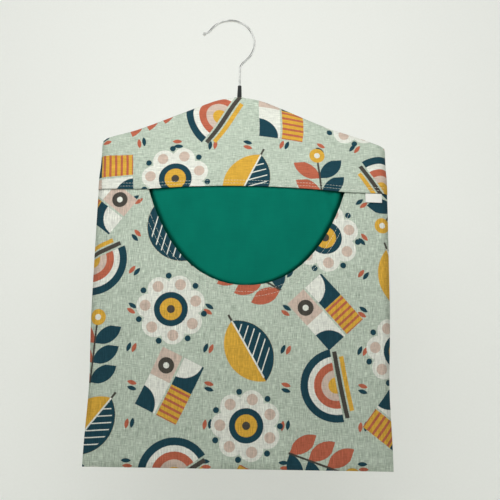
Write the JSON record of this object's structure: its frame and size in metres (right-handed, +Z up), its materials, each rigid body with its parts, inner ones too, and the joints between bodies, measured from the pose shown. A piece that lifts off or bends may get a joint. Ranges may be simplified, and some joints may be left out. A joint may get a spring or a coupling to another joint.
{
  "type": "peg bag",
  "caption": "Hanging cloth peg bag with sloping shoulders, a half-round mouth under a yoke, a contrast lining and a small hanger inside whose wire hook swivels.",
  "frame": {"origin": "inside of the hook's loop, on the swivel axis, where the bag hangs from a line or a rail", "axes": "+Z up along the swivel axis, +X to the right of a person who faces the mouth, front of the bag towards -Y"},
  "size_m": [0.305, 0.0228, 0.4715],
  "materials": {
    "chrome_wire": "bright plated steel wire",
    "black_plastic": "moulded black plastic",
    "printed_canvas": "linen-look cotton with a scattered print",
    "green_lining": "plain woven cotton",
    "white_tape": "bare woven tape"
  },
  "bodies": {
    "hook": {"hook": "chrome_wire"},
    "hanger": {"hanger_bar": "black_plastic", "neck_bush": "black_plastic"},
    "bag": {"back_panel": "printed_canvas", "back_lining": "green_lining", "front_panel": "printed_canvas", "front_lining": "green_lining", "front_yoke": "printed_canvas", "yoke_lining": "green_lining"},
    "label": {"label": "white_tape"}
  },
  "joints": [
    {"name": "hook_swivel", "type": "hinge", "parent": "hook", "child": "hanger", "pos_m": [0, 0, -0.0927], "axis": [0, 0, 1], "continuous": true},
    {"name": "bag_lift", "type": "slide", "parent": "hanger", "child": "bag", "axis": [0, 0, 1], "range_m": [0, 0.025]},
    {"name": "label_flap", "type": "hinge", "parent": "bag", "child": "label", "pos_m": [0.1345, -0.0088, -0.1891], "axis": [-1, 0, 0], "range_deg": [0, 90]}
  ]
}
